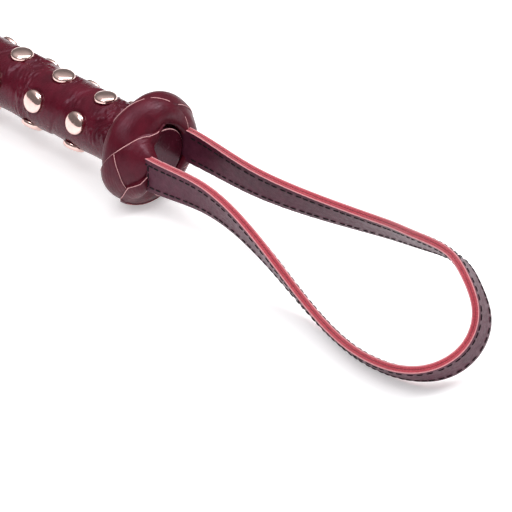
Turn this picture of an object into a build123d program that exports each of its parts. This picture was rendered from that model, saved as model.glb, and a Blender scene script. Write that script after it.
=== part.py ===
from build123d import *
import math
import os

# Riding crop, millimetres. The origin is the centre of the end disc's outer face.
# +X runs out of the pommel along the wrist loop, the shaft runs along -X, +Z is up.

# ---------------------------------------------------------------- driving dimensions
fit_gap = 0.05

rod_root_r = 3.2
rod_tip_r = 1.7
rod_end_x = -8.0
rod_tip_x = -566.0
cover_wall = 0.9

core_r = 10.3
handle_r = 12.15
handle_end_x = -10.0
handle_front_x = -210.0

collar_length = 12.0
collar_r = 14.0
ferrule_length = 9.0
ferrule_r = 5.8

stud_head_r = 4.5
stud_head_rise = 2.9
stud_head_sink = 0.85
stud_shank_r = 1.3
stud_shank_length = 6.0
stud_pitch = 22.5
studs_per_turn = 5
studs_per_row = 8
first_stud_x = -26.3
first_stud_angle = 16.0

knot_r = 22.2
knot_mid_x = -7.6
knot_semi = 10.5
knot_back_x = -14.0
knot_front_x = 0.8
knot_mouth_r = 12.2
braid_thickness = 2.6
core_back_x = -12.0
lip_front_x = 4.5
lip_thickness = 2.7
lip_width = 15.0

disc_r = 10.8
disc_thickness = 3.2
disc_bevel = 0.5

strap_width = 13.6
ply_thickness = 1.55
glue_line = 0.03
tail_x = -9.5
tack_r = 0.8
tack_inner_y = 9.0
tack_outer_y = 17.0
tack_x = -7.0
tack_z = 3.4

stitch_inset = 2.3
stitch_width = 0.9
stitch_height = 0.3
seam_gap = 0.1
seam_end = 0.0013

root_x = 5.0
lift_end_x = 20.0
swing_end_x = 58.0

keeper_width = 26.0
keeper_length = 62.0
keeper_ply = 1.4
keeper_neck_width = 10.0
keeper_flare = 0.35
keeper_tip_round = 0.55
keeper_neck_length = 14.0
keeper_sleeve_length = 28.0
keeper_sleeve_r = 3.9
whipping_turns = 12
whipping_pitch = 1.15
whipping_thread_r = 0.5
tip_cap_r = 2.5

# ---------------------------------------------------------------- strap route
# Centre line of the wrist strap, from the near root round to the far root.
strap_route = [
    (root_x, -12.6, 0),
    (33.5, -11.9, 1.2),
    (61, -13.5, -4.4),
    (86.5, -16.2, -14.8),
    (112.3, -21.4, -20.4),
    (137, -23.8, -21.4),
    (156.5, -17.5, -19.4),
    (163, -3.3, -14.1),
    (161.4, 5.9, -3.4),
    (152, 10.5, 5.6),
    (138, 16, 7.9),
    (119, 18.8, 5.4),
    (96.5, 23, -0.6),
    (68.5, 18.9, -2.4),
    (38, 11.6, -0.2),
    (root_x, 12.6, 0),
]
# The strap leans over and pitches forward as it runs out from the knot, in degrees.
full_lean = 47.4
full_pitch = 13.0
full_lean_x = 164.0
strap_step = 3.8

os.makedirs("parts", exist_ok=True)


def save(builder, label):
    builder.part.label = label
    export_step(builder.part, f"parts/{label}.step")


def cross_plane(x):
    """Section plane across the crop at x: its own X is +Y and its own Y is +Z."""
    return Plane(origin=(x, 0, 0), x_dir=(0, 1, 0), z_dir=(1, 0, 0))


def turned(points):
    """Solid of revolution about the crop's axis, from (x, radius) corners."""
    with BuildPart() as body:
        with BuildSketch(Plane.XZ):
            with BuildLine():
                Polyline(*points, close=True)
            make_face()
        revolve(axis=Axis.X)
    return body


# ---------------------------------------------------------------- shaft
taper = (rod_root_r - rod_tip_r) / (handle_front_x - rod_tip_x)


def rod_radius(x):
    return rod_tip_r + taper * (x - rod_tip_x)


shaft_core = turned(
    [
        (rod_end_x, 0),
        (rod_end_x, rod_root_r),
        (handle_front_x, rod_root_r),
        (rod_tip_x, rod_tip_r),
        (rod_tip_x, 0),
    ]
)
save(shaft_core, "shaft_core")

cover_front_x = handle_front_x - collar_length
cover_tip_x = rod_tip_x + keeper_sleeve_length
shaft_cover = turned(
    [
        (cover_front_x, rod_radius(cover_front_x)),
        (cover_front_x, rod_radius(cover_front_x) + cover_wall),
        (cover_tip_x, rod_radius(cover_tip_x) + cover_wall),
        (cover_tip_x, rod_radius(cover_tip_x)),
    ]
)
save(shaft_cover, "shaft_cover")

# ---------------------------------------------------------------- handle and studs
with BuildPart() as handle_core:
    with BuildSketch(cross_plane(handle_front_x)):
        Circle(core_r)
        Circle(rod_root_r, mode=Mode.SUBTRACT)
    extrude(amount=handle_end_x - handle_front_x)

with BuildPart() as handle_wrap:
    with BuildSketch(cross_plane(handle_front_x)):
        Circle(handle_r)
        Circle(core_r, mode=Mode.SUBTRACT)
    extrude(amount=handle_end_x - handle_front_x)


def stud_seat(row, turn):
    """Plane under a stud's head, sunk in the wrap, with its normal pointing out."""
    x = first_stud_x - turn * stud_pitch - row * stud_pitch / studs_per_turn
    angle = math.radians(first_stud_angle + row * 360 / studs_per_turn)
    outward = Vector(0, math.cos(angle), math.sin(angle))
    origin = Vector(x, 0, 0) + outward * (handle_r - stud_head_sink)
    return Plane(origin=origin, x_dir=(1, 0, 0), z_dir=outward)


head_sphere_r = (stud_head_r**2 + stud_head_rise**2) / (2 * stud_head_rise)
for row in range(studs_per_turn):
    with BuildPart() as stud_row:
        for turn in range(studs_per_row):
            seat = stud_seat(row, turn)
            with BuildSketch(Plane(origin=seat.origin, x_dir=seat.x_dir, z_dir=-seat.y_dir)):
                with BuildLine():
                    Line((0, -stud_shank_length), (stud_shank_r, -stud_shank_length))
                    Line((stud_shank_r, -stud_shank_length), (stud_shank_r, 0))
                    Line((stud_shank_r, 0), (stud_head_r, 0))
                    RadiusArc((stud_head_r, 0), (0, stud_head_rise), -head_sphere_r)
                    Line((0, stud_head_rise), (0, -stud_shank_length))
                make_face()
            revolve(axis=Axis(seat.origin, seat.z_dir))
    save(stud_row, f"stud_row_{row + 1}")

    for sleeve in (handle_wrap, handle_core):
        with sleeve:
            for turn in range(studs_per_row):
                with BuildSketch(stud_seat(row, turn)):
                    Circle(stud_shank_r + fit_gap)
                extrude(amount=-stud_shank_length - fit_gap, mode=Mode.SUBTRACT)
    with handle_wrap:
        for turn in range(studs_per_row):
            with BuildSketch(stud_seat(row, turn)):
                Circle(stud_head_r + fit_gap)
            extrude(amount=stud_head_rise, mode=Mode.SUBTRACT)

save(handle_core, "handle_core")
save(handle_wrap, "handle_wrap")

# ---------------------------------------------------------------- front of the handle
with BuildPart() as front_collar:
    with BuildSketch(Plane.XZ):
        with BuildLine():
            Line((handle_front_x, rod_root_r), (handle_front_x, handle_r))
            Spline(
                (handle_front_x, handle_r),
                (handle_front_x - collar_length * 0.35, collar_r),
                (cover_front_x, ferrule_r + 1.0),
            )
            Line((cover_front_x, ferrule_r + 1.0), (cover_front_x, rod_root_r))
            Line((cover_front_x, rod_root_r), (handle_front_x, rod_root_r))
        make_face()
    revolve(axis=Axis.X)
save(front_collar, "front_collar")

ferrule_front_x = cover_front_x - ferrule_length
front_ferrule = turned(
    [
        (cover_front_x, rod_radius(cover_front_x) + cover_wall),
        (cover_front_x, ferrule_r),
        (ferrule_front_x + 1.0, ferrule_r),
        (ferrule_front_x, ferrule_r - 1.0),
        (ferrule_front_x, rod_radius(ferrule_front_x) + cover_wall),
    ]
)
save(front_ferrule, "front_ferrule")

# ---------------------------------------------------------------- pommel knot
core_front_x = -disc_thickness


def barrel(semi, reach, x_from, x_to, count=10):
    """Points along an elliptic barrel about the crop's axis, from x_from to x_to."""
    points = []
    for step in range(count + 1):
        x = x_from + (x_to - x_from) * step / count
        points.append((x, reach * math.sqrt(1 - ((x - knot_mid_x) / semi) ** 2)))
    return points


ball = barrel(knot_semi - braid_thickness, knot_r - braid_thickness, core_back_x, core_front_x)
skin = barrel(knot_semi, knot_r, knot_back_x, knot_front_x)
strap_y = abs(strap_route[0][1])


def strap_slots(x_from, x_to):
    """The two slots that the ends of the strap run through."""
    with BuildPart() as slots:
        for side in (-1, 1):
            with BuildSketch(cross_plane(x_from)):
                with Locations((side * strap_y, 0)):
                    Rectangle(2 * (ply_thickness + fit_gap), strap_width + 2 * fit_gap)
            extrude(amount=x_to - x_from)
    return slots.part


core_slots = strap_slots(tail_x, core_front_x)
mouth_slots = strap_slots(core_front_x, lip_front_x)

with BuildPart() as knot_core:
    with BuildSketch(Plane.XZ):
        with BuildLine():
            Polyline(
                ball[0],
                (core_back_x, handle_r),
                (handle_end_x, handle_r),
                (handle_end_x, rod_root_r),
                (rod_end_x, rod_root_r),
                (rod_end_x, 0),
                (core_front_x, 0),
                ball[-1],
            )
            Spline(*ball)
        make_face()
    revolve(axis=Axis.X)
    add(core_slots, mode=Mode.SUBTRACT)
    for side in (-1, 1):
        for z in (-tack_z, tack_z):
            with BuildSketch(Plane(origin=(tack_x, side * tack_inner_y, z), z_dir=(0, side, 0))):
                Circle(tack_r)
            extrude(amount=knot_r, mode=Mode.SUBTRACT)
save(knot_core, "knot_core")

with BuildPart() as knot_braid:
    with BuildSketch(Plane.XZ):
        with BuildLine():
            Spline(*skin)
            Polyline(
                skin[-1],
                (knot_front_x, knot_mouth_r),
                (core_front_x, knot_mouth_r),
                ball[-1],
            )
            Spline(*ball)
            Polyline(ball[0], (core_back_x, handle_r), (knot_back_x, handle_r), skin[0])
        make_face()
    revolve(axis=Axis.X)
    for side in (-1, 1):
        with BuildSketch(cross_plane(core_front_x)):
            with Locations((side * (strap_y + ply_thickness + lip_thickness / 2), 0)):
                Rectangle(lip_thickness, lip_width)
        extrude(amount=lip_front_x - core_front_x)
    add(mouth_slots, mode=Mode.SUBTRACT)
save(knot_braid, "knot_braid")

end_disc = turned(
    [
        (core_front_x, 0),
        (core_front_x, disc_r),
        (-disc_bevel, disc_r),
        (0, disc_r - disc_bevel),
        (0, 0),
    ]
)
save(end_disc, "end_disc")

# ---------------------------------------------------------------- wrist strap
with BuildLine() as route:
    Spline(*strap_route, tangents=[(1, 0, 0), (-1, 0, 0)], tangent_scalars=[1, 1])
strap_line = route.edge()
strap_length = strap_line.length


def fraction_at(x, low, high):
    """Fraction of the strap's length where its centre line crosses x."""
    rising = (strap_line @ low).X < (strap_line @ high).X
    for _ in range(40):
        middle = (low + high) / 2
        if ((strap_line @ middle).X < x) == rising:
            low = middle
        else:
            high = middle
    return (low + high) / 2


def strap_frame(fraction):
    """Plane across the strap: its own X points out of the loop, its own Y up the width."""
    place = strap_line @ fraction
    along = (strap_line % fraction).normalized()
    share = math.sin(math.pi / 2 * min(max(place.X - root_x, 0) / full_lean_x, 1))
    lean = math.radians(full_lean * share)
    pitch = math.radians(full_pitch * share)
    up = Vector(math.sin(pitch), -math.sin(lean), math.cos(lean))
    up = (up - along * up.dot(along)).normalized()
    outward = along.cross(up)
    return Plane(origin=place, x_dir=outward, z_dir=along)


near_lift = fraction_at(lift_end_x, 0, 0.3)
near_swing = fraction_at(swing_end_x, 0, 0.3)
far_swing = fraction_at(swing_end_x, 0.7, 1)
far_lift = fraction_at(lift_end_x, 0.7, 1)


def strip(x_low, x_high, y_low, y_high, begin, end):
    """Strip that follows the strap: x is through its thickness and y across its width."""
    steps = max(2, round((end - begin) * strap_length / strap_step))
    with BuildPart() as band:
        for step in range(steps + 1):
            with BuildSketch(strap_frame(begin + (end - begin) * step / steps)):
                with Locations(((x_low + x_high) / 2, (y_low + y_high) / 2)):
                    Rectangle(x_high - x_low, y_high - y_low)
        loft(ruled=True)
    return band.part


def seam(face_x, begin, end):
    """The two thread rows on one face of a stretch of strap."""
    rows = []
    for y in (-stitch_y, stitch_y):
        low_y = y - stitch_width / 2
        high_y = y + stitch_width / 2
        run = (begin + seam_end, end - seam_end)
        rows.append(strip(face_x, face_x + stitch_height, low_y, high_y, *run))
    return rows


stretches = {
    "root": [(0, near_lift), (far_lift, 1)],
    "neck": [(near_lift, near_swing), (far_swing, far_lift)],
    "loop": [(near_swing, far_swing)],
}
half_width = strap_width / 2
stitch_y = half_width - stitch_inset
seam_outer_x = ply_thickness + seam_gap
seam_inner_x = -seam_outer_x - stitch_height
for stretch, runs in stretches.items():
    outer_bands = [strip(glue_line, ply_thickness, -half_width, half_width, *run) for run in runs]
    inner_bands = [strip(-ply_thickness, -glue_line, -half_width, half_width, *run) for run in runs]
    seams = [seam(face, *run) for run in runs for face in (seam_outer_x, seam_inner_x)]

    with BuildPart() as outer_ply:
        add(outer_bands)
    save(outer_ply, f"strap_outer_ply_{stretch}")

    with BuildPart() as inner_ply:
        add(inner_bands)
    save(inner_ply, f"strap_inner_ply_{stretch}")

    with BuildPart() as stitching:
        for rows in seams:
            add(rows)
    save(stitching, f"strap_stitching_{stretch}")

for label, y_low, y_high in (
    ("strap_outer_ply_tails", strap_y, strap_y + ply_thickness),
    ("strap_inner_ply_tails", strap_y - ply_thickness, strap_y),
):
    with BuildPart() as tails:
        for side in (-1, 1):
            with BuildSketch(cross_plane(tail_x)):
                with Locations((side * (y_low + y_high) / 2, 0)):
                    Rectangle(y_high - y_low, strap_width)
            extrude(amount=root_x - tail_x)
        for z in (-tack_z, tack_z):
            with BuildSketch(Plane(origin=(tack_x, -knot_r, z), z_dir=(0, 1, 0))):
                Circle(tack_r)
            extrude(amount=2 * knot_r, mode=Mode.SUBTRACT)
    save(tails, label)

with BuildPart() as strap_tacks:
    for side in (-1, 1):
        for z in (-tack_z, tack_z):
            with BuildSketch(Plane(origin=(tack_x, side * tack_inner_y, z), z_dir=(0, side, 0))):
                Circle(tack_r)
            extrude(amount=tack_outer_y - tack_inner_y)
save(strap_tacks, "strap_tacks")

# ---------------------------------------------------------------- keeper
sleeve_back_x = rod_tip_x + keeper_sleeve_length
tip_cap = turned(
    [
        (rod_tip_x, 0),
        (rod_tip_x, tip_cap_r),
        (rod_tip_x - 1.5, tip_cap_r),
        (rod_tip_x - 2.5, tip_cap_r - 1.0),
        (rod_tip_x - 2.5, 0),
    ]
)
save(tip_cap, "tip_cap")

keeper_sleeve = turned(
    [
        (rod_tip_x, rod_tip_r),
        (rod_tip_x, keeper_sleeve_r),
        (sleeve_back_x, keeper_sleeve_r),
        (sleeve_back_x, rod_radius(sleeve_back_x)),
    ]
)
save(keeper_sleeve, "keeper_sleeve")

with BuildPart() as keeper_whipping:
    for turn in range(whipping_turns):
        x = rod_tip_x + 8.0 + turn * whipping_pitch
        ring_r = keeper_sleeve_r + whipping_thread_r
        with BuildSketch(Plane.XZ):
            with Locations((x, ring_r)):
                Circle(whipping_thread_r)
        revolve(axis=Axis.X)
save(keeper_whipping, "keeper_whipping")

neck_back_x = rod_tip_x - 2.5
neck_front_x = neck_back_x - keeper_neck_length
keeper_tip_x = neck_front_x - keeper_length


def keeper_outline(inset):
    """Flat keeper seen from above: it flares from the neck and ends in a round tip."""
    neck_x = neck_front_x - inset
    tip_x = keeper_tip_x + inset
    half_neck = keeper_neck_width / 2 - inset
    half_body = keeper_width / 2 - inset
    shoulder_x = neck_front_x - keeper_length * keeper_flare
    round_x = tip_x + half_body * keeper_tip_round
    with BuildSketch() as outline:
        with BuildLine():
            Line((neck_x, -half_neck), (neck_x, half_neck))
            Spline((neck_x, half_neck), (shoulder_x, half_body), tangents=[(-1, 0.35), (-1, 0)])
            Line((shoulder_x, half_body), (round_x, half_body))
            Spline(
                (round_x, half_body),
                (tip_x, 0),
                (round_x, -half_body),
                tangents=[(-1, 0), (1, 0)],
            )
            Line((round_x, -half_body), (shoulder_x, -half_body))
            Spline((shoulder_x, -half_body), (neck_x, -half_neck), tangents=[(1, 0), (1, 0.35)])
        make_face()
    return outline.sketch


keeper_shape = keeper_outline(0)
seam_outer = keeper_outline(stitch_inset)
seam_inner = keeper_outline(stitch_inset + stitch_width)

for label, face_z in (("keeper_top_ply", 0), ("keeper_bottom_ply", -keeper_ply)):
    with BuildPart() as keeper_face:
        with BuildSketch(Plane.XY.offset(face_z)):
            add(keeper_shape)
        extrude(amount=keeper_ply)
    save(keeper_face, label)

with BuildPart() as keeper_neck:
    with BuildSketch(Plane.XY.offset(-keeper_ply)):
        with Locations(((neck_back_x + neck_front_x) / 2, 0)):
            Rectangle(keeper_neck_length, keeper_neck_width)
    extrude(amount=2 * keeper_ply)
save(keeper_neck, "keeper_neck")

with BuildPart() as keeper_stitching:
    for face_z in (keeper_ply, -keeper_ply - stitch_height):
        with BuildSketch(Plane.XY.offset(face_z)):
            add(seam_outer)
        extrude(amount=stitch_height)
        with BuildSketch(Plane.XY.offset(face_z)):
            add(seam_inner)
        extrude(amount=stitch_height, mode=Mode.SUBTRACT)
save(keeper_stitching, "keeper_stitching")

print("strap centre line", round(strap_length, 1), "mm")
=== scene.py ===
import math

import bpy
import numpy as np
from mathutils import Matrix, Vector


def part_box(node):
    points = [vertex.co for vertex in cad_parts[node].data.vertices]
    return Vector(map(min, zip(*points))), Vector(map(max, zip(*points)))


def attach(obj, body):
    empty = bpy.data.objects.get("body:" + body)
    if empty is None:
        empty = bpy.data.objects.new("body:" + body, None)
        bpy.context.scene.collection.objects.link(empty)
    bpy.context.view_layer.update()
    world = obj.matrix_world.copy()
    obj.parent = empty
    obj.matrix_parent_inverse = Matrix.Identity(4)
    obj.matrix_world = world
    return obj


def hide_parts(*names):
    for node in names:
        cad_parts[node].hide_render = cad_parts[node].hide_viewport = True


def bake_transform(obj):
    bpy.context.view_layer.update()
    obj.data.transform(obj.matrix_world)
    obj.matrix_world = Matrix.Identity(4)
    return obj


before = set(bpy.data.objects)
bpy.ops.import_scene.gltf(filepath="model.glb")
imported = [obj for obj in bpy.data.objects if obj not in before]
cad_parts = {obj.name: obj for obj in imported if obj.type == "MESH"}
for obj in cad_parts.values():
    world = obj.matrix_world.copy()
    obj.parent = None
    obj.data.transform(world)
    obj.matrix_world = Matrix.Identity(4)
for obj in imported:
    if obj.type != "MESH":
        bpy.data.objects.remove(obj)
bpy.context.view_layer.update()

MM = 0.001
rng = np.random.default_rng(7)

# ---------------------------------------------------------------- places, from the frame
wrap_low, wrap_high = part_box("handle_wrap")
knot_low, knot_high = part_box("knot_braid")
disc_low, disc_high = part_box("end_disc")
collar_low, collar_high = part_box("front_collar")
cover_low, cover_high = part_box("shaft_cover")
sleeve_low, sleeve_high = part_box("keeper_sleeve")
keeper_low, keeper_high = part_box("keeper_top_ply")
neck_low, neck_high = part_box("keeper_neck")

handle_r = wrap_high.z
knot_mid_x = (knot_low.x + knot_high.x) / 2
disc_r = disc_high.z

# ---------------------------------------------------------------- strap, as in the CAD model
strap_width = 13.6 * MM
ply_thickness = 1.55 * MM
root_x = 5 * MM
tail_x = -6 * MM
lift_end_x = 20 * MM
strap_route = [
    (5, -12.6, 0),
    (33.5, -11.9, 1.2),
    (61, -13.5, -4.4),
    (86.5, -16.2, -14.8),
    (112.3, -21.4, -20.4),
    (137, -23.8, -21.4),
    (156.5, -17.5, -19.4),
    (163, -3.3, -14.1),
    (161.4, 5.9, -3.4),
    (152, 10.5, 5.6),
    (138, 16, 7.9),
    (119, 18.8, 5.4),
    (96.5, 23, -0.6),
    (68.5, 18.9, -2.4),
    (38, 11.6, -0.2),
    (5, 12.6, 0),
]
# The strap stands upright at the knot. It leans and pitches more and more towards the loop's end.
full_lean = math.radians(47.4)
full_pitch = math.radians(13)
full_lean_x = 164 * MM
stitch_inset = 2.1 * MM
STRAP_STEP = 0.75 * MM
EDGE_FUZZ = 0.045 * MM
EDGE_CROWN = 0.05 * MM
ARRIS = 0.22 * MM
UV_LENGTH = 50 * MM


# ---------------------------------------------------------------- mesh helpers
def mesh_piece(name, verts, faces, materials, face_slots=None, uv=None):
    """Smooth mesh object from vertices and faces in metres; uv is one pair per vertex."""
    mesh = bpy.data.meshes.new(name)
    mesh.from_pydata([tuple(v) for v in verts], [], [tuple(f) for f in faces])
    for material in materials:
        mesh.materials.append(material)
    if face_slots is not None:
        mesh.polygons.foreach_set("material_index", np.asarray(face_slots, np.int32))
    mesh.polygons.foreach_set("use_smooth", np.ones(len(mesh.polygons), bool))
    if uv is not None:
        layer = mesh.uv_layers.new(name="uv")
        corner = np.zeros(len(mesh.loops), np.int32)
        mesh.loops.foreach_get("vertex_index", corner)
        layer.data.foreach_set("uv", np.asarray(uv, np.float32)[corner].ravel())
    mesh.update()
    obj = bpy.data.objects.new(name, mesh)
    bpy.context.collection.objects.link(obj)
    return obj


def grid_faces(rows, columns, wrap_rows=False):
    """Quads of a rows by columns grid of vertices, closed round every row."""
    faces = []
    for row in range(rows if wrap_rows else rows - 1):
        below = row * columns
        above = (row + 1) % rows * columns
        for column in range(columns):
            side = (column + 1) % columns
            faces.append((below + column, below + side, above + side, above + column))
    return faces


def turned(name, profile, materials, slots=None, segments=96):
    """Closed solid of revolution about X from (x, radius) points in metres."""
    verts = []
    for x, radius in profile:
        for step in range(segments):
            angle = 2 * math.pi * step / segments
            verts.append((x, radius * math.cos(angle), radius * math.sin(angle)))
    faces = grid_faces(len(profile), segments)
    face_slots = np.repeat(slots, segments) if slots is not None else None
    return mesh_piece(name, verts, faces, materials, face_slots)


def sharpen(obj, degrees=40):
    """Marks edges sharper than this angle, so that smooth faces keep crisp corners."""
    obj.data.set_sharp_from_angle(angle=math.radians(degrees))
    return obj


def smooth_noise(u, v, seed, cells):
    """Value noise in 0..1 on a lattice, for arrays u and v in lattice units; v wraps."""
    rows = 257
    table = np.random.default_rng(seed).random((rows, cells))
    u0 = np.floor(u).astype(int)
    v0 = np.floor(v).astype(int)
    fu = u - u0
    fv = v - v0
    fu = fu * fu * (3 - 2 * fu)
    fv = fv * fv * (3 - 2 * fv)
    row, next_row = u0 % rows, (u0 + 1) % rows
    cell, next_cell = v0 % cells, (v0 + 1) % cells
    a = table[row, cell] * (1 - fv) + table[row, next_cell] * fv
    b = table[next_row, cell] * (1 - fv) + table[next_row, next_cell] * fv
    return a * (1 - fu) + b * fu


# ---------------------------------------------------------------- materials
LEATHER_SHEEN = (1.0, 0.72, 0.88, 1)


class Shader:
    """A Principled material under construction, in object space."""

    def __init__(self, name, **values):
        self.material = bpy.data.materials.new(name)
        self.material.use_nodes = True
        self.nodes = self.material.node_tree.nodes
        self.links = self.material.node_tree.links
        self.bsdf = self.nodes["Principled BSDF"]
        for socket, value in values.items():
            self.bsdf.inputs[socket.replace("_", " ")].default_value = value
        self.coords = self.nodes.new("ShaderNodeTexCoord")
        self.bump_end = None

    def noise(self, scale, stretch=(1, 1, 1), detail=4.0, rough=0.55):
        mapping = self.nodes.new("ShaderNodeMapping")
        mapping.inputs["Scale"].default_value = stretch
        self.links.new(self.coords.outputs["Object"], mapping.inputs["Vector"])
        noise = self.nodes.new("ShaderNodeTexNoise")
        noise.inputs["Scale"].default_value = scale
        noise.inputs["Detail"].default_value = detail
        noise.inputs["Roughness"].default_value = rough
        self.links.new(mapping.outputs["Vector"], noise.inputs["Vector"])
        return noise.outputs["Fac"]

    def cells(self, scale):
        voronoi = self.nodes.new("ShaderNodeTexVoronoi")
        voronoi.inputs["Scale"].default_value = scale
        self.links.new(self.coords.outputs["Object"], voronoi.inputs["Vector"])
        return voronoi.outputs["Distance"]

    def ramp(self, factor, stops):
        ramp = self.nodes.new("ShaderNodeValToRGB")
        elements = ramp.color_ramp.elements
        while len(elements) < len(stops):
            elements.new(0.5)
        for element, (position, colour) in zip(elements, stops):
            element.position = position
            element.color = (*colour, 1)
        self.links.new(factor, ramp.inputs["Fac"])
        return ramp.outputs["Color"]

    def mix(self, share, a, b):
        mix = self.nodes.new("ShaderNodeMix")
        mix.data_type = "RGBA"
        mix.inputs["Factor"].default_value = share
        self.links.new(a, mix.inputs["A"])
        self.links.new(b, mix.inputs["B"])
        return mix.outputs["Result"]

    def span(self, value, low, high):
        """Maps 0..1 noise to low..high."""
        node = self.nodes.new("ShaderNodeMapRange")
        node.inputs["From Min"].default_value = 0.3
        node.inputs["From Max"].default_value = 0.7
        node.inputs["To Min"].default_value = low
        node.inputs["To Max"].default_value = high
        self.links.new(value, node.inputs["Value"])
        return node.outputs["Result"]

    def bump(self, height, strength, distance):
        node = self.nodes.new("ShaderNodeBump")
        node.inputs["Strength"].default_value = strength
        node.inputs["Distance"].default_value = distance
        self.links.new(height, node.inputs["Height"])
        if self.bump_end is not None:
            self.links.new(self.bump_end, node.inputs["Normal"])
        self.bump_end = node.outputs["Normal"]
        self.links.new(self.bump_end, self.bsdf.inputs["Normal"])

    def set(self, socket, output):
        self.links.new(output, self.bsdf.inputs[socket])


def scaled(colour, factor):
    return tuple(min(1.0, c * factor) for c in colour)


def gloss_leather(name, dark, light, rough, wrinkle):
    """Finished wine-red leather: mottled colour, fine pores and soft creases."""
    s = Shader(name, Roughness=rough, Specular_IOR_Level=0.27, Specular_Tint=LEATHER_SHEEN)
    tone = s.noise(140, detail=5)
    s.set("Base Color", s.ramp(tone, [(0.32, dark), (0.68, light)]))
    s.set("Roughness", s.span(s.noise(420, detail=3), rough - 0.07, rough + 0.09))
    s.bump(s.noise(1300, (1.0, 0.14, 0.14), detail=4), wrinkle, 0.0006)
    s.bump(s.noise(1500, detail=5), 0.22, 0.00022)
    s.bump(s.cells(2600), 0.14, 0.00014)
    return s.material


def strap_leather(name, dark, light):
    """Strap leather: satin grain side with pores and a slightly uneven dye."""
    s = Shader(name, Roughness=0.42, Specular_IOR_Level=0.28, Specular_Tint=LEATHER_SHEEN)
    tone = s.noise(260, detail=6)
    s.set("Base Color", s.ramp(tone, [(0.3, dark), (0.7, light)]))
    s.set("Roughness", s.span(s.noise(700, detail=3), 0.34, 0.52))
    s.bump(s.cells(1900), 0.22, 0.00015)
    s.bump(s.noise(1500, detail=5), 0.25, 0.00012)
    return s.material


def cut_edge(name, core, border):
    """Raw cut edge of the strap: fuzzy red fibre between two paler skins."""
    s = Shader(name, Roughness=0.85, Sheen_Weight=0.35, Sheen_Roughness=0.5)
    split = s.nodes.new("ShaderNodeSeparateXYZ")
    s.links.new(s.coords.outputs["UV"], split.inputs["Vector"])
    dusky = scaled(core, 0.72)
    face_side = [(0.0, border), (0.12, border), (0.20, core), (0.48, core)]
    back_side = [(0.52, core), (0.80, core), (0.88, border), (1.0, border)]
    across = s.ramp(split.outputs["Y"], face_side + [(0.5, dusky)] + back_side)
    pale = tuple(c * 1.5 + 0.05 for c in core)
    dark = scaled(core, 0.45)
    fibre = s.ramp(s.noise(1900, detail=3, rough=0.7), [(0.38, dark), (0.5, core), (0.64, pale)])
    s.set("Base Color", s.mix(0.42, across, fibre))
    s.bump(s.noise(2600, detail=6, rough=0.8), 0.8, 0.0003)
    return s.material


def pink_edge(name, colour):
    """Skived edge of a leather strip, pale where the dye stops."""
    s = Shader(name, Roughness=0.7)
    shades = [(0.3, scaled(colour, 0.6)), (0.7, scaled(colour, 1.25))]
    s.set("Base Color", s.ramp(s.noise(1500, detail=5), shades))
    s.bump(s.noise(2500, detail=4), 0.4, 0.0002)
    return s.material


def polished_metal(name, colour, rough):
    """Polished metal with faint dull patches and hairline unevenness."""
    s = Shader(name, Metallic=1.0, Roughness=rough)
    shades = [(0.35, scaled(colour, 0.86)), (0.65, colour)]
    s.set("Base Color", s.ramp(s.noise(500, detail=4), shades))
    s.set("Roughness", s.span(s.noise(1800, detail=4), rough - 0.04, rough + 0.06))
    s.bump(s.noise(3500, detail=2), 0.05, 0.00005)
    return s.material


def waxed_thread(name):
    """Near-black waxed thread with a fibrous surface."""
    s = Shader(name, Roughness=0.6, Specular_IOR_Level=0.15)
    shades = [(0.3, (0.003, 0.002, 0.003)), (0.7, (0.014, 0.008, 0.011))]
    s.set("Base Color", s.ramp(s.noise(3000), shades))
    s.bump(s.noise(6000, detail=2), 0.5, 0.0002)
    return s.material


def plain_core(name, dark, light, rough):
    """Wood or glass-fibre rod with its grain along the crop."""
    lengthwise = (0.1, 1, 1)
    s = Shader(name, Roughness=rough)
    s.set("Base Color", s.ramp(s.noise(300, lengthwise), [(0.3, dark), (0.7, light)]))
    s.bump(s.noise(800, lengthwise), 0.3, 0.0002)
    return s.material


handle_red = gloss_leather(
    "handle_red", (0.055, 0.0028, 0.0085), (0.092, 0.0048, 0.0140), rough=0.27, wrinkle=0.10
)
braid_red = gloss_leather(
    "braid_red", (0.056, 0.0028, 0.0085), (0.088, 0.0048, 0.0130), rough=0.36, wrinkle=0.42
)
disc_red = gloss_leather(
    "disc_red", (0.045, 0.004, 0.010), (0.056, 0.005, 0.013), rough=0.20, wrinkle=0.03
)
shaft_red = gloss_leather(
    "shaft_red", (0.058, 0.003, 0.009), (0.094, 0.005, 0.014), rough=0.34, wrinkle=0.35
)
strap_dark = strap_leather("strap_dark", (0.048, 0.0075, 0.018), (0.078, 0.014, 0.030))
strap_edge = cut_edge("strap_edge", (0.37, 0.028, 0.048), (0.74, 0.38, 0.40))
strip_edge = pink_edge("strip_edge", (0.66, 0.34, 0.35))
rose_gold = polished_metal("rose_gold", (0.90, 0.63, 0.58), 0.08)
thread = waxed_thread("thread")
wood_core = plain_core("wood_core", (0.40, 0.26, 0.14), (0.55, 0.38, 0.22), rough=0.6)
glass_rod = plain_core("glass_rod", (0.62, 0.58, 0.42), (0.75, 0.72, 0.58), rough=0.3)
steel = polished_metal("steel", (0.55, 0.55, 0.56), 0.3)

# ---------------------------------------------------------------- camera, table and light
# The crop lies on its knot, its loop and the sleeve of its keeper; the table is a plane
# through the lowest points of the knot and the sleeve, tilted a little in the crop's own frame.
CAMERA_AZIMUTH = math.radians(45)
CAMERA_ELEVATION = math.radians(31.5)
VIEW_WIDTH = 0.192
LENS = 1000
SENSOR = 36
VIEW_RIGHT = 0.0351
VIEW_DOWN = 0.03765
HORIZON = 0.3
CEILING = 0.7
TABLE_GLOW = 0.4
TABLE_HALF = 4.0
TABLE_GAP = 0.2 * MM

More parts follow.
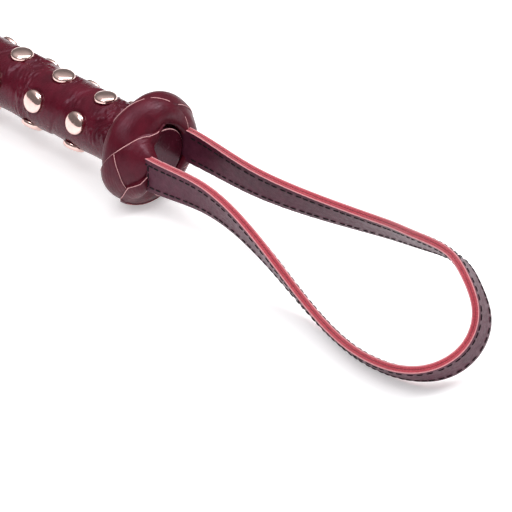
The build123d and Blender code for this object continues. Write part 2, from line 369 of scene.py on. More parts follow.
camera_back = Vector(
    (
        math.sin(CAMERA_AZIMUTH) * math.cos(CAMERA_ELEVATION),
        -math.cos(CAMERA_AZIMUTH) * math.cos(CAMERA_ELEVATION),
        math.sin(CAMERA_ELEVATION),
    )
)
camera_right = Vector((math.cos(CAMERA_AZIMUTH), math.sin(CAMERA_AZIMUTH), 0))
camera_up = camera_back.cross(camera_right)
target = camera_right * VIEW_RIGHT - camera_up * VIEW_DOWN

camera_data = bpy.data.cameras.new("camera")
camera_data.lens = LENS
camera_data.sensor_width = SENSOR
camera = bpy.data.objects.new("camera", camera_data)
bpy.context.collection.objects.link(camera)
camera.location = target + camera_back * (LENS / SENSOR * VIEW_WIDTH)
camera.rotation_euler = (-camera_back).to_track_quat("-Z", "Y").to_euler()
bpy.context.scene.camera = camera

sleeve_mid_x = (sleeve_low.x + sleeve_high.x) / 2
table_slope = (sleeve_low.z - knot_low.z) / (sleeve_mid_x - knot_mid_x)


def table_z(x):
    return knot_low.z + table_slope * (x - knot_mid_x) - TABLE_GAP


def make_table():
    """White table top, faintly lit from below like a light table."""
    signs = ((-1, -1), (1, -1), (1, 1), (-1, 1))
    corners = [(x * TABLE_HALF, y * TABLE_HALF, table_z(x * TABLE_HALF)) for x, y in signs]
    s = Shader(
        "table_white",
        Roughness=0.45,
        Emission_Color=(1, 0.99, 1, 1),
        Emission_Strength=TABLE_GLOW,
    )
    shades = [(0.3, (0.80, 0.80, 0.81)), (0.7, (0.82, 0.82, 0.825))]
    s.set("Base Color", s.ramp(s.noise(3), shades))
    table = mesh_piece("table", corners, [(0, 1, 2, 3)], [s.material])


def area_light(name, place, aim, size, power):
    data = bpy.data.lights.new(name, "AREA")
    data.shape = "SQUARE"
    data.size = size
    data.energy = power
    light = bpy.data.objects.new(name, data)
    bpy.context.collection.objects.link(light)
    light.location = place
    light.rotation_euler = (Vector(place) - Vector(aim)).to_track_quat("Z", "Y").to_euler()


def make_light():
    """Softboxes under a pale ceiling, with a dim horizon that keeps the leather's tops deep."""
    world = bpy.data.worlds.new("studio")
    world.use_nodes = True
    nodes, links = world.node_tree.nodes, world.node_tree.links
    direction = nodes.new("ShaderNodeTexCoord")
    split = nodes.new("ShaderNodeSeparateXYZ")
    links.new(direction.outputs["Generated"], split.inputs["Vector"])
    ramp = nodes.new("ShaderNodeValToRGB")
    elements = ramp.color_ramp.elements
    elements[0].position, elements[0].color = 0.45, (HORIZON, HORIZON, HORIZON, 1)
    elements[1].position, elements[1].color = 0.85, (1, 1, 1, 1)
    links.new(split.outputs["Z"], ramp.inputs["Fac"])
    links.new(ramp.outputs["Color"], nodes["Background"].inputs["Color"])
    nodes["Background"].inputs["Strength"].default_value = CEILING
    bpy.context.scene.world = world
    aim = (0.02, 0, 0)
    area_light("key", (0.75, 1.0, 1.5), aim, 0.8, 22)
    area_light("overhead", (0.1, 0.1, 1.9), aim, 1.6, 12)
    area_light("front", (0.12, -0.95, 1.45), aim, 0.9, 15)
    bpy.context.scene.view_settings.view_transform = "Standard"
    bpy.context.scene.view_settings.look = "None"


make_table()
make_light()


# ---------------------------------------------------------------- handle
WRAP_PITCH = 31 * MM
WRAP_STEP = 0.45 * MM
WRAP_INSET = 0.66 * MM
COLLAR_TUCK = 2.5 * MM
SKIN_THICKNESS = 1.6 * MM
SKIN_STEP = 0.34 * MM
SKIN_LANES = 200
PATCH_LENGTH = 8 * MM
PATCHES_ROUND = 9
DRIFT_LENGTH = 14 * MM
DRIFT = 5
WRINKLE_PITCH = 1.35 * MM
CREASES_ROUND = 16
FOLDS_ROUND = 26
CREASE_DEPTH = 0.80 * MM
FOLD_DEPTH = 0.50 * MM
LEAST_WRINKLED = 0.12
MOST_WRINKLED = 1.25
UNDERSIDE_SMOOTHING = 0.92
STUD_DENT = 0.42 * MM
DENT_MIDDLE = 0.96
DENT_SPREAD = 0.32
STUD_SWELL = 0.62 * MM
SWELL_SPREAD = 1.7
stud_pitch = 22.5 * MM
studs_per_turn = 5
studs_per_row = 8
first_stud_x = -26.3 * MM
first_stud_angle = math.radians(16)
stud_head_r = 4.5 * MM
stud_rise = 2.05 * MM
stud_seat = 0.28 * MM
stud_lean = 0.06


def stud_places():
    """(row, x, angle about the axis) of every stud, row by row."""
    for row in range(studs_per_turn):
        angle = first_stud_angle + row * 2 * math.pi / studs_per_turn
        for turn in range(studs_per_row):
            yield row, first_stud_x - turn * stud_pitch - row * stud_pitch / studs_per_turn, angle


def lapped(lap, rise, drop):
    """0..1 thickness of a wound strip that swells at rate rise and drops off at rate drop."""
    return np.clip(lap * rise, 0, 1) * np.clip((1 - lap) * drop, 0, 1)


def handle_surface(x, angle):
    """Radius of the wrapped handle: lapped strip, creases round it, and dents at the studs."""
    turns = angle / (2 * math.pi)
    lap = (x / WRAP_PITCH + turns) % 1.0
    radius = handle_r - WRAP_INSET + WRAP_STEP * lapped(lap, 1.15, 26)
    patch_v = turns * PATCHES_ROUND
    patches = smooth_noise(x / PATCH_LENGTH + 40, patch_v, 11, PATCHES_ROUND)
    drift = smooth_noise(x / DRIFT_LENGTH + 3, patch_v, 5, PATCHES_ROUND) * DRIFT
    fine_u = x / WRINKLE_PITCH + drift + 200
    fine = smooth_noise(fine_u, turns * CREASES_ROUND, 3, CREASES_ROUND)
    finer_u = x / (0.55 * WRINKLE_PITCH) + drift * 2 + 90
    finer = smooth_noise(finer_u, turns * FOLDS_ROUND, 4, FOLDS_ROUND)
    below = 0.5 - 0.5 * np.sin(angle)
    depth = LEAST_WRINKLED + MOST_WRINKLED * np.clip(patches * 2.6 - 1.0, 0, 1)
    depth = depth * (1 - UNDERSIDE_SMOOTHING * below)
    crease = np.abs(fine - 0.5) * 2
    fold = np.abs(finer - 0.5) * 2
    radius = radius + ((crease - 0.5) * CREASE_DEPTH + (fold - 0.5) * FOLD_DEPTH) * depth
    for _, stud_x, stud_angle in stud_places():
        turn_gap = (angle - stud_angle + math.pi) % (2 * math.pi) - math.pi
        away = np.hypot(x - stud_x, turn_gap * handle_r) / stud_head_r
        dent = np.clip(1 - np.abs(away - DENT_MIDDLE) / DENT_SPREAD, 0, 1)
        radius = radius - STUD_DENT * dent * dent * (3 - 2 * dent)
        radius = radius + STUD_SWELL * np.exp(-((away / SWELL_SPREAD) ** 2))
    return radius


def wound_sleeve(name, x, lanes, surface, hollow, material):
    """Sleeve about X: its outside radius is surface(x, angle) and its bore has radius hollow."""
    angle = np.arange(lanes) * 2 * math.pi / lanes
    grid_x, grid_angle = np.meshgrid(x, angle, indexing="ij")
    y, z = np.cos(grid_angle), np.sin(grid_angle)
    radius = surface(grid_x, grid_angle)
    outer = np.stack([grid_x, radius * y, radius * z], -1)
    inner = np.stack([grid_x, hollow * y, hollow * z], -1)[[-1, 0]]
    verts = np.concatenate([outer, inner]).reshape(-1, 3)
    faces = grid_faces(len(x) + 2, lanes, wrap_rows=True)
    return mesh_piece(name, verts, [f[::-1] for f in faces], [material])


def make_handle():
    x = np.arange(wrap_low.x - COLLAR_TUCK, wrap_high.x, SKIN_STEP)
    bore_r = handle_r - SKIN_THICKNESS
    skin = wound_sleeve("handle_skin", x, SKIN_LANES, handle_surface, bore_r, handle_red)
    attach(skin, "handle")
    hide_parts("handle_wrap")


def dome_profile():
    """(radius, height) of a stud's head: turned-in rim, soft shoulder and low crown."""
    points = [(0.0, -0.5 * MM), (stud_head_r * 0.9, -0.5 * MM), (stud_head_r, -0.2 * MM)]
    steps = 10
    for step in range(steps + 1):
        share = step / steps * math.pi / 2
        radius = stud_head_r * math.cos(share) ** 0.85
        points.append((radius, stud_rise * math.sin(share) ** 0.70))
    return points


def make_studs():
    segments = 40
    profile = dome_profile()
    for row in range(studs_per_turn):
        verts, faces = [], []
        for stud_row, x, angle in stud_places():
            if stud_row != row:
                continue
            out = Vector((0, math.cos(angle), math.sin(angle)))
            seat = Vector((x, 0, 0)) + out * (handle_r - stud_seat)
            side = Vector((1, 0, 0)).cross(out)
            tilt = Vector(rng.uniform(-stud_lean, stud_lean, 3))
            out = (out + tilt).normalized()
            along = side.cross(out).normalized()
            side = out.cross(along)
            first = len(verts)
            for radius, height in profile:
                for step in range(segments):
                    turn = 2 * math.pi * step / segments
                    round_axis = along * math.cos(turn) + side * math.sin(turn)
                    verts.append(seat + out * height + round_axis * radius)
            faces += [tuple(first + i for i in f) for f in grid_faces(len(profile), segments)]
        studs = mesh_piece(f"studs_row_{row + 1}", verts, faces, [rose_gold])
        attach(studs, "handle")
        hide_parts(f"stud_row_{row + 1}")


# ---------------------------------------------------------------- woven knots
# A knot is a ring covered by five broad leaves of leather. Each leaf lies over the one
# before it along a slanting edge, and a second edge crosses it where a strip dives under.
# Edges are given as (distance to the front of the ring's crown in mm, angle in degrees).
LEAVES = 5
LEAF_TURN = 360 / LEAVES
LEAF_EDGE = [(-15, 232), (-4, 187), (2, 158), (6, 134), (12, 94), (18, 66)]
NEAR_LEAF_EDGE = [(-15, 300), (-4, 247), (3, 213), (5, 197), (9, 186), (18, 160)]
FAR_LEAF_EDGE = [(-15, 165), (-4, 125), (0, 90), (6, 59), (12, 22), (18, -6)]
# The crossing edge is given as (angle in degrees, distance in mm).
CROSS_EDGE = [(160, 1.6), (180, 3.4), (200, 4.6)]
LEAF_CROWN = 0.35
CROSS_RISE = 0.55
CROSS_FADE = 4.5 * MM
CROSS_SHARPNESS = 0.07 * MM
SLOPE_REACH = 0.3 * MM
ROOT_SPREAD = 0.66
FAR_LIP = 0.2
FLAP_ANGLE = math.radians(137)
FLAP_SPREAD = math.radians(39)
FLAP_LIFT = 0.35
FLAP_EDGE_X = 0.25 * MM
GRAIN_LENGTH = 1.7 * MM
GRAIN_CELLS = 14
GRAIN_HEIGHT = 0.14 * MM
WEAR_LENGTH = 2.6 * MM
WORN = 0.22
BEADED_SHARE = 0.93
BEAD_FRONT_GAP = 2.2 * MM
OUTLINE_START = -0.2
OUTLINE_END = 1.08
OUTLINE_FULLNESS = 0.72
INSIDE_SWELL = -0.16


class Knot:
    """Ring of woven leather about the crop's axis, given by its outline in metres."""

    def __init__(self, outline, scale, step, lip, flap, edges, crossed):
        self.x, self.r = np.array(outline).T
        steps = np.hypot(np.diff(self.x), np.diff(self.r))
        self.length = np.concatenate([[0], np.cumsum(steps)])
        self.middle = self.length[-1] / 2
        self.scale = scale
        self.step = step
        self.lip = lip
        self.flap = flap
        self.edges = edges
        self.crossed = crossed
        self.crown_x = float(np.interp(self.middle, self.length, self.x))

    def edge_angle(self, leaf, across):
        """Angle of the edge where a leaf starts, at a distance from the crown."""
        points = np.array(self.edges[leaf % LEAVES], float)
        turn = 360 * (leaf // LEAVES)
        angle = np.interp(across / (self.scale * MM), points[:, 0], points[:, 1])
        return np.radians(angle + turn)

    def height(self, leaf, share, across, angle):
        """Height of the leather over the ring, for a place between a leaf's two edges."""
        ease = share * share * (3 - 2 * share)
        rise = self.step * (1 - ease + LEAF_CROWN * np.sin(math.pi * share) ** 0.8)
        if leaf % LEAVES in self.crossed:
            cross = self.cross_line(leaf, angle)
            behind = cross - across
            fade = np.exp(-np.clip(behind, 0, None) / (CROSS_FADE * self.scale))
            rise = rise + CROSS_RISE * self.step * fade / (1 + np.exp(-behind / CROSS_SHARPNESS))
        return rise

    def cross_line(self, leaf, angle):
        """Where a leaf's crossing edge runs at an angle, as a distance from the crown."""
        points = np.array(CROSS_EDGE, float)
        shift = np.radians(points[:, 0] + LEAF_TURN * (leaf - 1))
        return np.interp(angle, shift, points[:, 1] * self.scale * MM)

    def on_outline(self, spot):
        return np.interp(spot, self.length, self.x), np.interp(spot, self.length, self.r)

    def place(self, across, angle, height):
        """Point of the leather, pushed out over the strap's roots and in over the mouth."""
        spot = self.middle - across
        x, r = self.on_outline(spot)
        x_before, r_before = self.on_outline(spot - SLOPE_REACH)
        x_after, r_after = self.on_outline(spot + SLOPE_REACH)
        dx, dr = x_before - x_after, r_before - r_after
        size = np.hypot(dx, dr) + 1e-12
        x = x - dr / size * height
        r = r + dx / size * height
        forward = np.clip((x - self.crown_x) / (self.x.max() - self.crown_x), 0, 1)
        at_root = np.exp(-((np.abs(np.sin(angle)) / ROOT_SPREAD) ** 6))
        at_root = at_root * np.where(np.cos(angle) < 0, 1, FAR_LIP)
        x = x + self.lip * at_root * forward**2
        apart = (angle - FLAP_ANGLE + math.pi) % (2 * math.pi) - math.pi
        flap = self.flap * np.exp(-((np.abs(apart) / FLAP_SPREAD) ** 4)) * forward**4
        inside = spot < self.length[self.x.argmax()]
        r = r - flap
        x = np.where((flap > 0.1 * MM) & inside, np.maximum(x, FLAP_EDGE_X), x)
        x = x + FLAP_LIFT * flap
        return np.stack([x, r * np.cos(angle), r * np.sin(angle)], -1)

    def shell(self):
        """The leather's surface: rows run round the ring, and each leaf starts with its edge."""
        rows, columns = 150, 34
        across = self.middle - np.linspace(0.001 * MM, self.length[-1], rows)
        share = np.concatenate([[0, 0], np.linspace(0.012, 1, columns - 2)])
        verts = []
        for leaf in range(LEAVES):
            start = self.edge_angle(leaf, across)[:, None]
            end = self.edge_angle(leaf + 1, across)[:, None]
            angle = start + (end - start) * share[None, :]
            grid = np.broadcast_to(across[:, None], angle.shape)
            height = self.height(leaf, np.broadcast_to(share[None, :], angle.shape), grid, angle)
            before = self.height(leaf - 1, np.ones_like(start), grid[:, :1], start)
            height[:, 0] = before[:, 0]
            turns = (angle % (2 * math.pi)) / (2 * math.pi)
            grain = smooth_noise(grid / GRAIN_LENGTH + 60, turns * GRAIN_CELLS, 8, GRAIN_CELLS)
            height = height + (grain - 0.5) * GRAIN_HEIGHT
            verts.append(self.place(grid, angle, height))
        verts = np.concatenate(verts, 1).reshape(-1, 3)
        return verts, grid_faces(rows, columns * LEAVES)

    def edge_beads(self, radius):
        """The pale cut edges, as fine beads that follow the leaves' edges."""
        parts = []
        back = self.middle - self.length[-1] * BEADED_SHARE
        front = self.middle - BEAD_FRONT_GAP * self.scale
        for leaf in range(LEAVES):
            across = np.linspace(back, front, 90)
            angle = self.edge_angle(leaf, across)
            wear = smooth_noise(across / WEAR_LENGTH + 30 + leaf * 9, angle * 0, 17, 5)
            height = self.step * (1.0 - 0.5 * (wear < WORN))
            parts.append(tube(self.place(across, angle, height), radius))
        for leaf in self.crossed:
            turned_by = LEAF_TURN * (leaf - 1)
            first = math.radians(CROSS_EDGE[0][0] + turned_by)
            last = math.radians(CROSS_EDGE[-1][0] + turned_by)
            angle = np.linspace(first, last, 40)
            across = self.cross_line(leaf, angle)
            start, end = self.edge_angle(leaf, across), self.edge_angle(leaf + 1, across)
            share = np.clip((angle - start) / (end - start), 0, 1)
            height = self.height(leaf, share, across - 0.25 * MM, angle)
            parts.append(tube(self.place(across, angle, height - 0.1 * MM), radius * 0.9))
        return parts


def tube(line, radius, segments=6):
    """Fine tube along a line of points: its vertices and faces."""
    line = np.asarray(line)
    along = np.gradient(line, axis=0)
    along /= np.linalg.norm(along, axis=1)[:, None]
    guide = np.where(np.abs(along[:, :1]) > 0.9, [[0, 0, 1.0]], [[1.0, 0, 0]])
    side = np.cross(along, guide)
    side /= np.linalg.norm(side, axis=1)[:, None]
    top = np.cross(side, along)
    taper = np.ones(len(line)) * radius
    taper[[0, -1]] *= 0.3
    rings = []
    for step in range(segments):
        turn = 2 * math.pi * step / segments
        rings.append(line + (side * math.cos(turn) + top * math.sin(turn)) * taper[:, None])
    verts = np.stack(rings, 1).reshape(-1, 3)
    faces = grid_faces(len(line), segments)
    last = (len(line) - 1) * segments
    faces.append(tuple(range(segments))[::-1])
    faces.append(tuple(range(last, last + segments)))
    return verts, faces


def knot_outline(front, back, mouth, crown, back_r, sag):
    """Outline of the ring under the leather, from inside its mouth to its back, in metres."""
    points = []
    for share in np.linspace(OUTLINE_START, OUTLINE_END, 130):
        turn = math.pi * share
        x = (front + back) / 2 + (front - back) / 2 * math.cos(turn)
        foot = mouth + (back_r - mouth) * share
        swell = abs(math.sin(turn)) ** OUTLINE_FULLNESS
        if math.sin(turn) < 0:
            swell *= INSIDE_SWELL
        points.append((x, foot + (crown - foot) * swell - sag * math.cos(turn) * max(swell, 0)))
    return points


def woven_knot(name, node, knot, bead_r):
    """Piece made of a knot's leather and its pale edges."""
    verts, faces = knot.shell()
    slots = [0] * len(faces)
    verts = list(verts)
    for bead_verts, bead_faces in knot.edge_beads(bead_r):
        first = len(verts)
        verts += list(bead_verts)
        faces += [tuple(first + i for i in face) for face in bead_faces]
        slots += [1] * len(bead_faces)
    piece = mesh_piece(name, verts, faces, [braid_red, strip_edge], slots)
    sharpen(piece, 55)
    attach(piece, "handle")
    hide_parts(node)


def make_knots():
    """The pommel knot round the strap's roots, and the smaller collar at the handle's front."""
    edges = [[(c, a + LEAF_TURN * (leaf - 1)) for c, a in LEAF_EDGE] for leaf in range(LEAVES)]
    pommel_edges = list(edges)
    pommel_edges[0] = FAR_LEAF_EDGE
    pommel_edges[2] = NEAR_LEAF_EDGE
    pommel = Knot(
        knot_outline(
            front=-0.5 * MM,
            back=-13.2 * MM,
            mouth=13.4 * MM,
            crown=21.3 * MM,
            back_r=12.6 * MM,
            sag=1.5 * MM,
        ),
        scale=1.0,
        step=0.85 * MM,
        lip=6.0 * MM,
        flap=3.4 * MM,
        edges=pommel_edges,
        crossed=[1, 2, 3, 4],
    )
    woven_knot("pommel_braid", "knot_braid", pommel, 0.15 * MM)
    collar = Knot(
        knot_outline(
            front=collar_high.x - 0.2 * MM,
            back=collar_low.x + 0.6 * MM,
            mouth=12.2 * MM,
            crown=collar_high.z - 0.8 * MM,
            back_r=7.2 * MM,
            sag=0.0,
        ),
        scale=0.7,
        step=0.55 * MM,
        lip=0.0,
        flap=0.0,
        edges=edges,
        crossed=[],
    )
    woven_knot("collar_braid", "front_collar", collar, 0.16 * MM)


def make_disc():
    """Polished end disc, slightly dished, with a rolled rim."""
    x = disc_high.x
    hub_r = 0.0001 * MM
    profile = [
        (x - 0.35 * MM, hub_r),
        (x - 0.30 * MM, disc_r * 0.5),
        (x - 0.12 * MM, disc_r * 0.86),
        (x, disc_r - 0.55 * MM),
        (x - 0.08 * MM, disc_r - 0.22 * MM),
        (x - 0.35 * MM, disc_r),
        (disc_low.x, disc_r),
        (disc_low.x, hub_r),
    ]
    rim_slots = [0, 0, 0, 0, 1, 0, 0]
    disc = turned("end_disc_polished", profile, [disc_red, strip_edge], rim_slots)
    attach(disc, "handle")
    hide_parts("end_disc")


# ---------------------------------------------------------------- wrist strap
def cubic_through(points, first_dir, last_dir):
    """Points close together along the smooth curve through the route, clamped at its ends."""
    p = np.asarray(points, float)
    chord = np.linalg.norm(np.diff(p, axis=0), axis=1)
    n = len(p)
    matrix = np.zeros((n, n))
    right = np.zeros((n, 3))
    matrix[0, 0] = matrix[-1, -1] = 1
    right[0], right[-1] = first_dir, last_dir
    for i in range(1, n - 1):
        matrix[i, i - 1] = chord[i]
        matrix[i, i] = 2 * (chord[i - 1] + chord[i])
        matrix[i, i + 1] = chord[i - 1]
        rise = (p[i + 1] - p[i]) / chord[i] * chord[i - 1]
        fall = (p[i] - p[i - 1]) / chord[i - 1] * chord[i]
        right[i] = 3 * (rise + fall)
    slopes = np.linalg.solve(matrix, right)
    line = []
    for i in range(n - 1):
        for t in np.linspace(0, 1, 120, endpoint=i == n - 2):
            h = chord[i]
            # Cubic Hermite span between two route points.
            line.append(
                (2 * t**3 - 3 * t**2 + 1) * p[i]
                + (t**3 - 2 * t**2 + t) * h * slopes[i]
                + (-2 * t**3 + 3 * t**2) * p[i + 1]
                + (t**3 - t**2) * h * slopes[i + 1]
            )
    return np.array(line)


def strap_frames():
    """Places along the strap with their directions along, out of and up the strap."""
    near_tail = [(tail_x, strap_route[0][1] * MM, 0)]
    middle = cubic_through(np.array(strap_route) * MM, (1, 0, 0), (-1, 0, 0))
    far_tail = [(tail_x, strap_route[-1][1] * MM, 0)]
    line = np.concatenate([near_tail, middle, far_tail])
    run = np.concatenate([[0], np.cumsum(np.linalg.norm(np.diff(line, axis=0), axis=1))])
    spots = np.linspace(0, run[-1], int(run[-1] / STRAP_STEP))
    place = np.stack([np.interp(spots, run, line[:, i]) for i in range(3)], -1)
    along = np.gradient(place, axis=0)
    along /= np.linalg.norm(along, axis=1)[:, None]
    share = np.sin(math.pi / 2 * np.clip((place[:, 0] - root_x) / full_lean_x, 0, 1))
    up = np.stack(
        [np.sin(full_pitch * share), -np.sin(full_lean * share), np.cos(full_lean * share)], -1
    )
    up -= along * np.sum(up * along, 1)[:, None]
    up /= np.linalg.norm(up, axis=1)[:, None]
    out = np.cross(along, up)
    return spots, place, along, out, up


spots, place, along, out, up = strap_frames()
half_width = strap_width / 2
stitch_y = half_width - stitch_inset


def split_index(x, near):
    """Index of the strap sample whose centre line crosses x on one branch."""
    crossing = np.flatnonzero(np.diff(np.sign(place[:, 0] - x)))
    return int(crossing[0] if near else crossing[-1])


near_cut = split_index(lift_end_x, True)
far_cut = split_index(lift_end_x, False)
stretches = {
    "root": [slice(0, near_cut + 1), slice(far_cut, len(spots))],
    "loop": [slice(near_cut, far_cut + 1)],
}


def join_root(obj):
    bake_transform(obj)


def join_loop(obj):
    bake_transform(obj)


joiners = {"root": join_root, "loop": join_loop}


def ply_section(inner, outer):
    """Rounded rectangle round one ply, as (thickness, width, slot): slot 1 is a cut edge."""
    r = ARRIS
    w = half_width
    bevel = 0.3 * r
    crown = w + EDGE_CROWN
    middle = (inner + outer) / 2
    grain_side = [(outer, share * (w - r), 0) for share in np.linspace(-1, 1, 9)]
    top_edge = [(outer - bevel, w - bevel, 1), (outer - r, w, 1)]
    top_edge += [(middle, crown, 1), (inner + bevel, w, 0)]
    glue_side = [(inner, share * (w - r), 0) for share in np.linspace(1, -1, 5)]
    low_edge = [(inner + bevel, -w, 1), (middle, -crown, 1)]
    low_edge += [(outer - r, -w, 1), (outer - bevel, bevel - w, 0)]
    return grain_side + top_edge + glue_side + low_edge


def make_ply(name, nodes, inner, outer, stretch):
    """One leather ply of a stretch of strap, with a fuzzy cut edge on both sides."""
    section = ply_section(inner, outer)
    verts, faces, slots, uv = [], [], [], []
    for part in stretches[stretch]:
        first = len(verts)
        places = np.arange(len(spots))[part]
        fuzz = rng.normal(0, EDGE_FUZZ, (len(places), len(section)))
        for row, i in enumerate(places):
            for column, (a, b, _) in enumerate(section):
                on_edge = abs(b) >= half_width - 0.01 * MM
                b = b + fuzz[row, column] * on_edge
                verts.append(place[i] + out[i] * a + up[i] * b)
                uv.append((spots[i] / UV_LENGTH, (a + ply_thickness) / (2 * ply_thickness)))
        columns = len(section)
        faces += [tuple(first + j for j in f) for f in grid_faces(len(places), columns)]
        slots += [section[column][2] for _ in range(len(places) - 1) for column in range(columns)]
        last = first + (len(places) - 1) * columns
        faces.append(tuple(range(first, first + columns))[::-1])
        faces.append(tuple(range(last, last + columns)))
        slots += [1, 1]
    ply = mesh_piece(name, verts, faces, [strap_dark, strap_edge], slots, uv)
    sharpen(ply, 50)
    joiners[stretch](ply)
    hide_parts(*nodes)


STITCH_PITCH = 3.3 * MM
STITCH_LENGTH = 2.95 * MM
STITCH_R = 0.31 * MM
STITCH_RISE = 0.10 * MM
STITCH_DIP = 0.32 * MM
STITCH_FLATNESS = 0.8
STITCH_SKEW = 0.03


def stitch_mesh(centre, forward, side, normal, verts, faces):
    """One stitch: a short thread that dips into the leather at both ends."""
    segments, rings = 8, 7
    first = len(verts)
    for ring in range(rings):
        share = ring / (rings - 1) * 2 - 1
        wide = STITCH_R * math.sqrt(max(0.05, 1 - share**6))
        tall = wide * STITCH_FLATNESS
        spot = centre + forward * (share * STITCH_LENGTH / 2)
        spot = spot + normal * (STITCH_RISE - STITCH_DIP * share**4)
        for step in range(segments):
            turn = 2 * math.pi * step / segments
            verts.append(spot + side * (math.cos(turn) * wide) + normal * (math.sin(turn) * tall))
    faces += [tuple(first + i for i in f) for f in grid_faces(rings, segments)]
    faces.append(tuple(first + i for i in range(segments))[::-1])
    faces.append(tuple(first + (rings - 1) * segments + i for i in range(segments)))


def make_strap_stitches(stretch, node):
    """Two rows of stitches on both faces, and a cross row at the near root."""
    verts, faces = [], []
    for part in stretches[stretch]:
        low, high = spots[part][0], spots[part][-1]
        count = round((high - low) / STITCH_PITCH)
        for k in range(count):
            centre_run = low + (k + 0.5) * (high - low) / count
            i = int(np.argmin(np.abs(spots - centre_run)))
            if place[i][0] < root_x - 0.5 * MM:
                continue
            for y in (-stitch_y, stitch_y):
                for face in (1, -1):
                    forward = along[i] + up[i] * rng.normal(0, STITCH_SKEW)
                    centre = place[i] + up[i] * y + out[i] * face * ply_thickness
                    stitch_mesh(centre, forward, up[i], out[i] * face, verts, faces)
    if stretch == "root":
        i = split_index(root_x + 2.4 * MM, True)
        for k in range(3):
            y = (k - 1) * STITCH_PITCH * 0.95
            for face in (1, -1):
                centre = place[i] + up[i] * y + out[i] * face * ply_thickness
                stitch_mesh(centre, up[i], along[i], out[i] * face, verts, faces)
    stitches = mesh_piece(f"strap_stitches_{stretch}", verts, faces, [thread])
    joiners[stretch](stitches)
    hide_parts(*node)


def make_strap():
    for stretch, cad in (("root", ("tails", "root")), ("loop", ("neck", "loop"))):
        outer_nodes = [f"strap_outer_ply_{part}" for part in cad]
        inner_nodes = [f"strap_inner_ply_{part}" for part in cad]
        make_ply(f"strap_outer_{stretch}", outer_nodes, 0.0, ply_thickness, stretch)
        make_ply(f"strap_inner_{stretch}", inner_nodes, -ply_thickness, 0.0, stretch)
    make_strap_stitches("root", ["strap_stitching_root"])
    make_strap_stitches("loop", ["strap_stitching_neck", "strap_stitching_loop"])


# ---------------------------------------------------------------- shaft and keeper
LACE_PITCH = 9 * MM
LACE_STEP = 0.28 * MM
LACE_GRAIN = 0.1 * MM
LACE_THICKNESS = 0.6 * MM
SLEEVE_OVER_COVER = 1.25 * MM
cover_tip_r = sleeve_high.z - SLEEVE_OVER_COVER


def lace_surface(x, angle):
    """Radius of the leather lace wound along the shaft, each turn lapping the one before."""
    share = (x - cover_low.x) / (cover_high.x - cover_low.x)
    turns = angle / (2 * math.pi)
    lap = (x / LACE_PITCH - turns) % 1.0
    radius = cover_tip_r + (cover_high.z - cover_tip_r) * share
    radius = radius - LACE_STEP + LACE_STEP * lapped(lap, 1.1, 9)
    grain = smooth_noise(x / (2.2 * MM) + 9, turns * 6, 21, 6)
    return radius + (grain - 0.5) * LACE_GRAIN


def make_shaft():
    x = np.arange(cover_low.x, cover_high.x, 0.5 * MM)
    bore_r = cover_tip_r - LACE_THICKNESS
    lace = wound_sleeve("shaft_lace", x, 40, lace_surface, bore_r, shaft_red)
    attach(lace, "handle")
    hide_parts("shaft_cover")


def make_keeper_sleeve():
    """Leather sleeve over the rod's end, tapered down to the lace."""
    low, high, r = sleeve_low.x, sleeve_high.x, sleeve_high.z
    taper_length = 6 * MM
    steps = 40
    profile = [(low, 1.8 * MM), (low, r - 0.5 * MM), (low + 0.5 * MM, r)]
    for step in range(1, steps):
        x = low + (high - low) * step / steps
        taper = np.clip((x - high + taper_length) / taper_length, 0, 1)
        profile.append((x, r - 0.9 * MM * taper**2))
    profile += [(high, r - 1.2 * MM), (high, 2.2 * MM)]
    profile.append(profile[0])
    sleeve = sharpen(turned("keeper_sleeve_leather", profile, [shaft_red], segments=64))
    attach(sleeve, "handle")
    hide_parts("keeper_sleeve")


KEEPER_FLARE = 0.35
KEEPER_NOSE = 0.62
LEAF_ROUNDING = 0.35 * MM
SEAM_DEPTH = 0.18 * MM
SEAM_WIDTH = 0.7 * MM
keeper_half = keeper_high.y
neck_half = neck_high.y
ply_height = keeper_high.z - keeper_low.z


def keeper_half_width(x):
    """Half width of the keeper at x: neck, flare, parallel body and round tip."""
    length = keeper_high.x - keeper_low.x
    flare = np.clip((keeper_high.x - x) / (KEEPER_FLARE * length), 0, 1)
    flare = flare * flare * (3 - 2 * flare)
    body = neck_half + (keeper_half - neck_half) * flare
    end = np.clip((x - keeper_low.x) / (keeper_half * KEEPER_NOSE), 0, 1)
    return body * np.sqrt(np.clip(1 - (1 - end) ** 2.6, 0.0004, 1))


def leaf_drop(share, half):
    """How far a leaf's grain side falls at its rounded edge and along its seam."""
    from_seam = abs(share) * half - half + stitch_inset
    seam = math.exp(-((from_seam / SEAM_WIDTH) ** 2))
    return LEAF_ROUNDING * abs(share) ** 14 + SEAM_DEPTH * seam


def make_keeper_ply(name, node, low, high, grain_up):
    """One leaf of the keeper with rounded edges and its seam pressed in."""
    spread = 1 - np.cos(np.linspace(0, math.pi / 2, 90))
    x = keeper_low.x + (keeper_high.x - keeper_low.x) * spread
    lanes = 25
    across = np.linspace(-1, 1, lanes)
    verts = []
    for spot in x:
        half = float(keeper_half_width(spot))
        for share in across:
            drop = leaf_drop(share, half) if grain_up else 0
            verts.append((spot, share * half, high - drop))
        for share in across[::-1]:
            drop = 0 if grain_up else leaf_drop(share, half)
            verts.append((spot, share * half, low + drop))
    columns = 2 * lanes
    faces = grid_faces(len(x), columns)
    faces.append(tuple(range(columns))[::-1])
    last = (len(x) - 1) * columns
    faces.append(tuple(range(last, last + columns)))
    edge_slots = [1 if c in (lanes - 1, columns - 1) else 0 for c in range(columns)]
    slots = edge_slots * (len(x) - 1) + [1, 1]
    leaf = mesh_piece(name, verts, [f[::-1] for f in faces], [strap_dark, strip_edge], slots)
    sharpen(leaf)
    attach(leaf, "keeper")
    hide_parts(node)


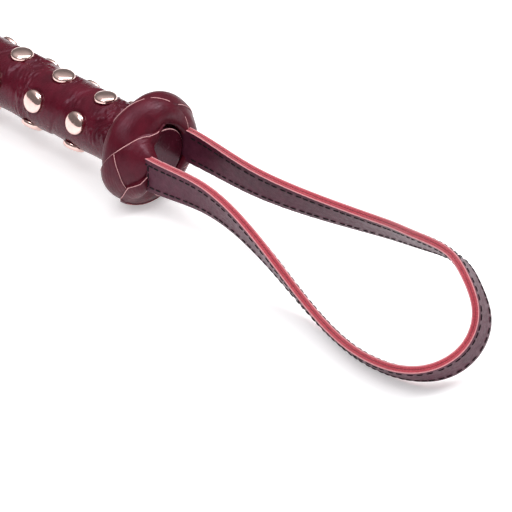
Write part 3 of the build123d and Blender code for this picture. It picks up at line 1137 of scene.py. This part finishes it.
def make_keeper_neck():
    """The folded tongue between the sleeve and the leaves."""
    overlap = 0.4 * MM
    waist = 0.62
    root_swell = 1.25
    squareness = 0.45
    x = np.linspace(neck_high.x + overlap, neck_low.x - overlap, 40)
    ring = 28
    verts = []
    for spot in x:
        share = np.clip((neck_high.x - spot) / (neck_high.x - neck_low.x), 0, 1)
        half = neck_half * (waist + (1 - waist) * share**0.7)
        thick = neck_high.z * (root_swell + (1 - root_swell) * share)
        for step in range(ring):
            turn = 2 * math.pi * step / ring
            c, s = math.cos(turn), math.sin(turn)
            verts.append(
                (
                    spot,
                    half * math.copysign(abs(c) ** squareness, c),
                    thick * math.copysign(abs(s) ** squareness, s),
                )
            )
    faces = grid_faces(len(x), ring)
    faces.append(tuple(range(ring))[::-1])
    faces.append(tuple(range((len(x) - 1) * ring, len(x) * ring)))
    neck = mesh_piece("keeper_tongue", verts, faces, [strap_dark])
    sharpen(neck, 60)
    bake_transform(neck)
    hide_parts("keeper_neck")


def make_keeper_stitches():
    """Stitches along both sides of the keeper, on its two faces."""
    verts, faces = [], []
    reach = 0.5 * MM
    for side in (-1, 1):
        x = keeper_high.x - 3 * MM
        while x > keeper_low.x + 4.2 * MM:
            half = float(keeper_half_width(x)) - stitch_inset
            ahead = float(keeper_half_width(x - reach)) - stitch_inset
            forward = Vector((-reach, side * (ahead - half), 0)).normalized()
            lateral = Vector((0, 0, 1)).cross(forward)
            for face in (1, -1):
                centre = Vector((x, side * half, face * (ply_height - 0.12 * MM)))
                stitch_mesh(centre, forward, lateral, Vector((0, 0, face)), verts, faces)
            x += forward.x * STITCH_PITCH
    stitches = mesh_piece("keeper_stitches", verts, faces, [thread])
    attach(stitches, "keeper")
    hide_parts("keeper_stitching")


def make_keeper():
    make_keeper_sleeve()
    make_keeper_ply("keeper_leaf_top", "keeper_top_ply", keeper_low.z, keeper_high.z, True)
    bottom_low, bottom_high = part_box("keeper_bottom_ply")
    make_keeper_ply("keeper_leaf_bottom", "keeper_bottom_ply", bottom_low.z, bottom_high.z, False)
    make_keeper_neck()
    make_keeper_stitches()


# ---------------------------------------------------------------- kept CAD nodes
def paint(node, material):
    """Gives a CAD node that stays visible its material."""
    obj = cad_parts[node]
    if not obj.material_slots:
        obj.data.materials.append(material)
    for slot in obj.material_slots:
        slot.material = material


def paint_cad():
    paint("shaft_core", glass_rod)
    paint("handle_core", wood_core)
    paint("knot_core", handle_red)
    paint("front_ferrule", rose_gold)
    paint("tip_cap", rose_gold)
    paint("strap_tacks", steel)
    paint("keeper_whipping", thread)


make_handle()
make_studs()
make_knots()
make_disc()
make_strap()
make_shaft()
make_keeper()
paint_cad()
